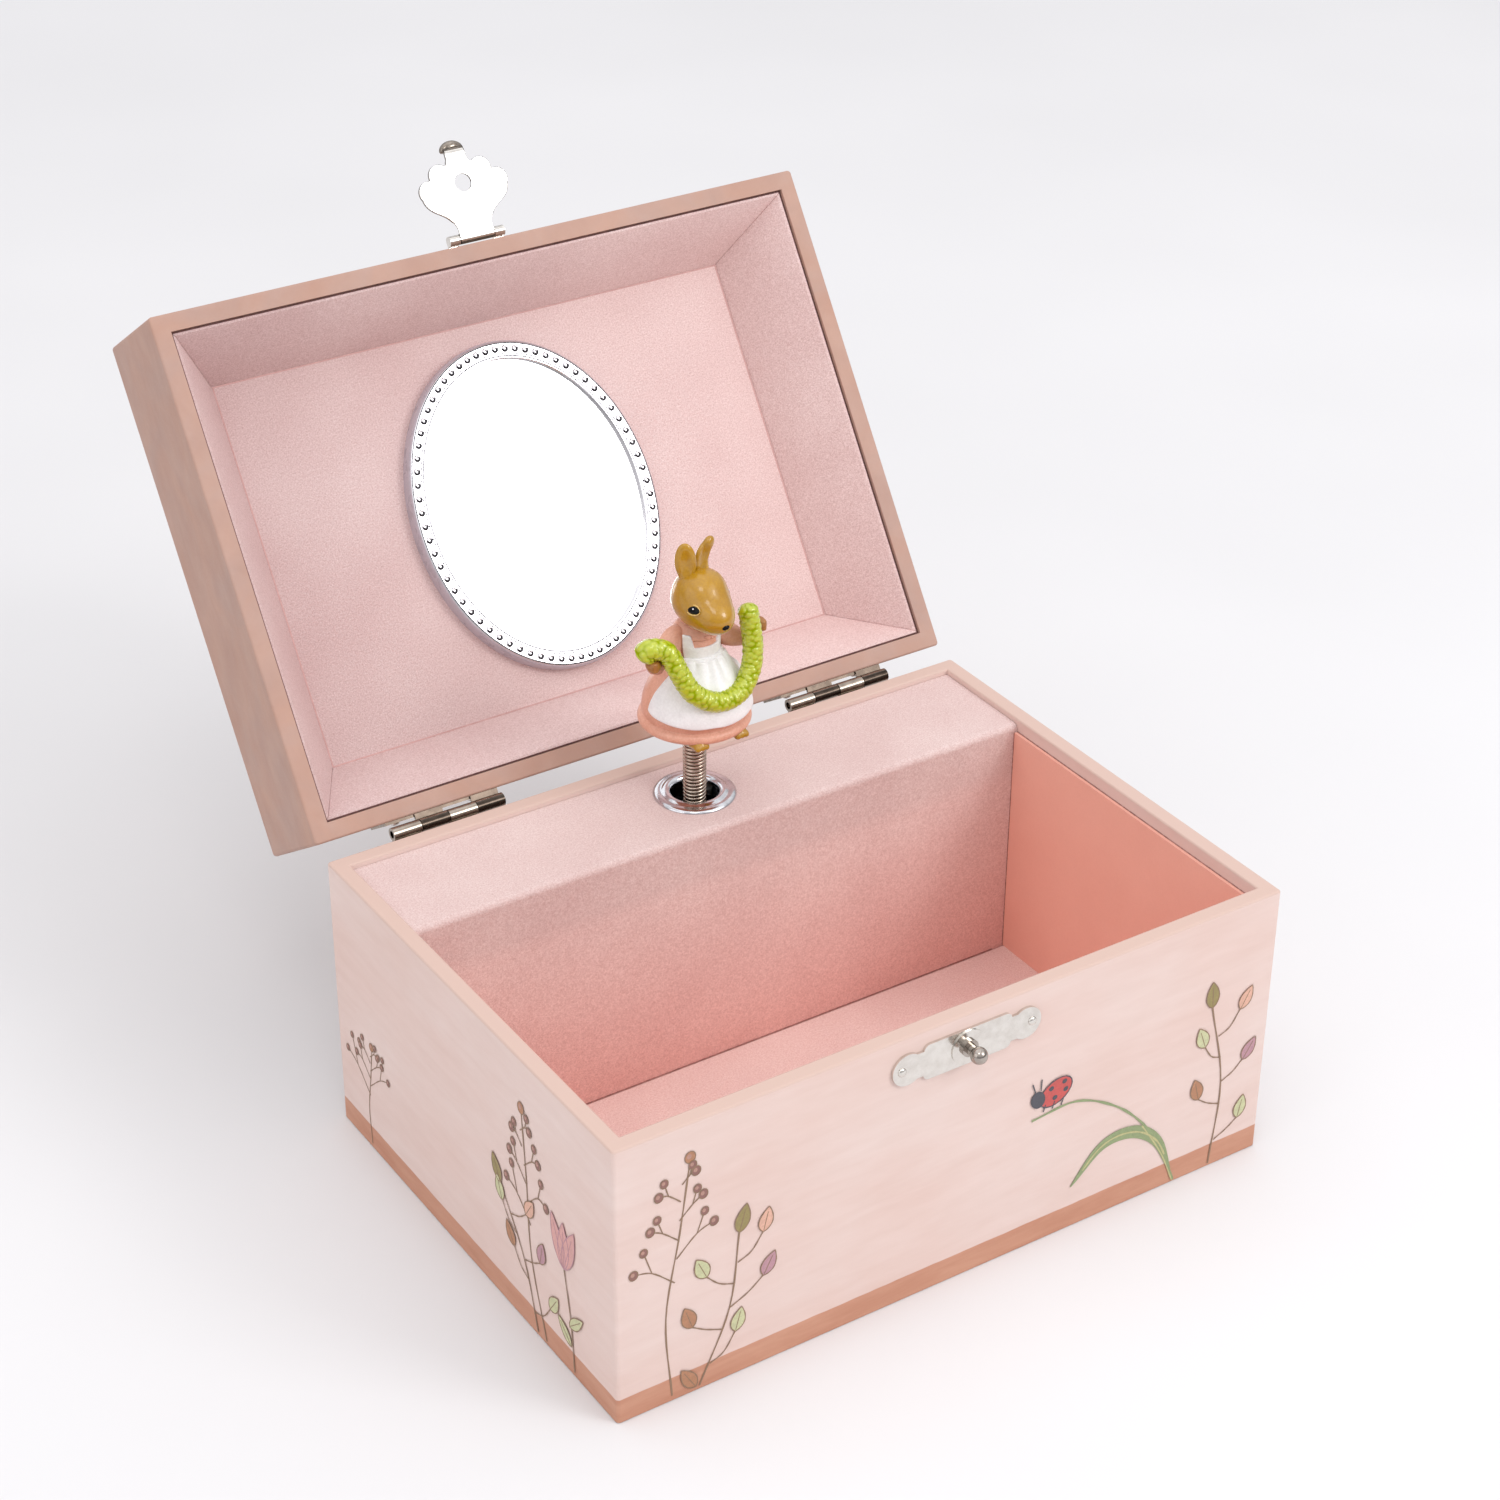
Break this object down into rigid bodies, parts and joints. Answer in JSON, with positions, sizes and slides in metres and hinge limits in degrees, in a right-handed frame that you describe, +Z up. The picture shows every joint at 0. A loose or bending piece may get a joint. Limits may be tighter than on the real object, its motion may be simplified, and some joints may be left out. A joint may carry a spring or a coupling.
{
  "type": "musical jewellery box",
  "caption": "Paper-covered musical jewellery box with a hinged lid, oval lid mirror, flocked lining, hasp, and a turning rabbit figure on a flexible spring neck.",
  "frame": {"origin": "centre of the body's flat underside", "axes": "+X to the right along the front, +Y to the back where the lid is hinged, +Z up"},
  "size_m": [0.155, 0.2053, 0.1732],
  "materials": {
    "body_paper": "printed pale pink paper over 3 mm fibreboard, silk",
    "base_board": "plain fibreboard covered with kraft-toned paper",
    "lid_paper": "printed rose paper with a streaky wash over fibreboard, silk",
    "flock": "pink flocking on card",
    "coral_paper": "smooth coral paper on card",
    "nickel": "bright nickel plate",
    "eyelet_chrome": "bright plated rolled metal",
    "mirror_frame_silver": "silver-plated moulding with a bead pattern",
    "mirror_glass": "polished",
    "card": "grey card",
    "spring_steel": "drawn spring wire",
    "resin_brown": "ochre paint, semi-gloss",
    "resin_peach": "peach paint, satin",
    "resin_white": "white paint, satin",
    "resin_green": "lime green paint, gloss",
    "zinc": "bright zinc die casting",
    "brass": "turned",
    "steel": "plated steel",
    "moulded_white": "natural acetal"
  },
  "bodies": {
    "root": {"body_pins": "nickel", "bottom_board": "base_board", "comb": "steel", "eyelet": "eyelet_chrome", "floor_pad": "flock", "front_lining": "coral_paper", "governor_frame": "moulded_white", "hinge_body_leaf_left": "nickel", "hinge_body_leaf_right": "nickel", "hinge_shafts": "nickel", "latch_plate": "nickel", "latch_stud": "nickel", "lower_bearing": "zinc", "mainspring": "spring_steel", "mainspring_case": "zinc", "movement_bedplate": "zinc", "movement_screws": "steel", "music_cover": "flock", "side_lining_left": "coral_paper", "side_lining_right": "coral_paper", "upper_bearing": "zinc", "wall_back": "body_paper", "wall_front": "body_paper", "wall_left": "body_paper", "wall_right": "body_paper"},
    "lid": {"hinge_lid_leaf_left": "nickel", "hinge_lid_leaf_right": "nickel", "lid_lining_back": "flock", "lid_lining_flat": "flock", "lid_lining_front": "flock", "lid_lining_left": "flock", "lid_lining_right": "flock", "lid_pins": "nickel", "lid_rail_back": "lid_paper", "lid_rail_front": "lid_paper", "lid_rail_left": "lid_paper", "lid_rail_right": "lid_paper", "lid_top_board": "lid_paper", "mirror_back_card": "card", "mirror_frame": "mirror_frame_silver", "mirror_glass": "mirror_glass", "hasp_plate": "nickel", "hasp_shaft": "nickel"},
    "hasp": {"hasp": "nickel"},
    "neck": {"spring_neck": "spring_steel"},
    "figure": {"figure_apron": "resin_white", "figure_dress": "resin_peach", "figure_ears": "resin_brown", "figure_feet": "resin_brown", "figure_garland": "resin_green", "figure_head": "resin_brown", "figure_paws": "resin_brown", "figure_peg": "spring_steel"},
    "cylinder": {"pinned_cylinder": "brass"},
    "great_wheel": {"great_wheel": "brass"},
    "governor_wheel": {"governor_wheel": "moulded_white"},
    "governor_fly": {"governor_fly": "moulded_white"},
    "winding_key": {"key_arbor": "steel", "winding_key": "steel"}
  },
  "joints": [
    {"name": "lid_hinge", "type": "hinge", "parent": "root", "child": "lid", "pos_m": [0, 0.0582, 0.063], "axis": [1, 0, 0], "range_deg": [0, 124]},
    {"name": "hasp_hinge", "type": "hinge", "parent": "lid", "child": "hasp", "pos_m": [0, 0.12693, 0.15632], "axis": [1, 0, 0], "range_deg": [-70, 86]},
    {"name": "neck_fold", "type": "hinge", "parent": "root", "child": "neck", "pos_m": [0, 0.0385, 0.063], "axis": [1, 0, 0], "range_deg": [0, 96], "deforming": ["spring_neck"]},
    {"name": "figure_spin", "type": "hinge", "parent": "neck", "child": "figure", "pos_m": [0, 0.04, 0.062], "axis": [0, 0, 1], "continuous": true},
    {"name": "cylinder_turn", "type": "hinge", "parent": "root", "child": "cylinder", "pos_m": [0, 0.04, 0.04], "axis": [0, 0, 1], "continuous": true},
    {"name": "great_wheel_turn", "type": "hinge", "parent": "root", "child": "great_wheel", "pos_m": [0, 0.035, 0.0175], "axis": [0, 1, 0], "continuous": true},
    {"name": "governor_wheel_turn", "type": "hinge", "parent": "root", "child": "governor_wheel", "pos_m": [-0.01, 0.04, 0.05], "axis": [0, 0, 1], "continuous": true},
    {"name": "governor_fly_turn", "type": "hinge", "parent": "root", "child": "governor_fly", "pos_m": [-0.01624, 0.0436, 0.054], "axis": [0, 0, 1], "continuous": true},
    {"name": "winding_key_turn", "type": "hinge", "parent": "root", "child": "winding_key", "pos_m": [0, 0.056, 0.0175], "axis": [0, 1, 0], "continuous": true}
  ],
  "couplings": [
    {"joint": "neck_fold", "follows": "lid_hinge", "ratio": 0.77419},
    {"joint": "figure_spin", "follows": "cylinder_turn", "ratio": 1},
    {"joint": "great_wheel_turn", "follows": "cylinder_turn", "ratio": 0.3},
    {"joint": "governor_wheel_turn", "follows": "cylinder_turn", "ratio": -4},
    {"joint": "governor_fly_turn", "follows": "cylinder_turn", "ratio": 14}
  ]
}
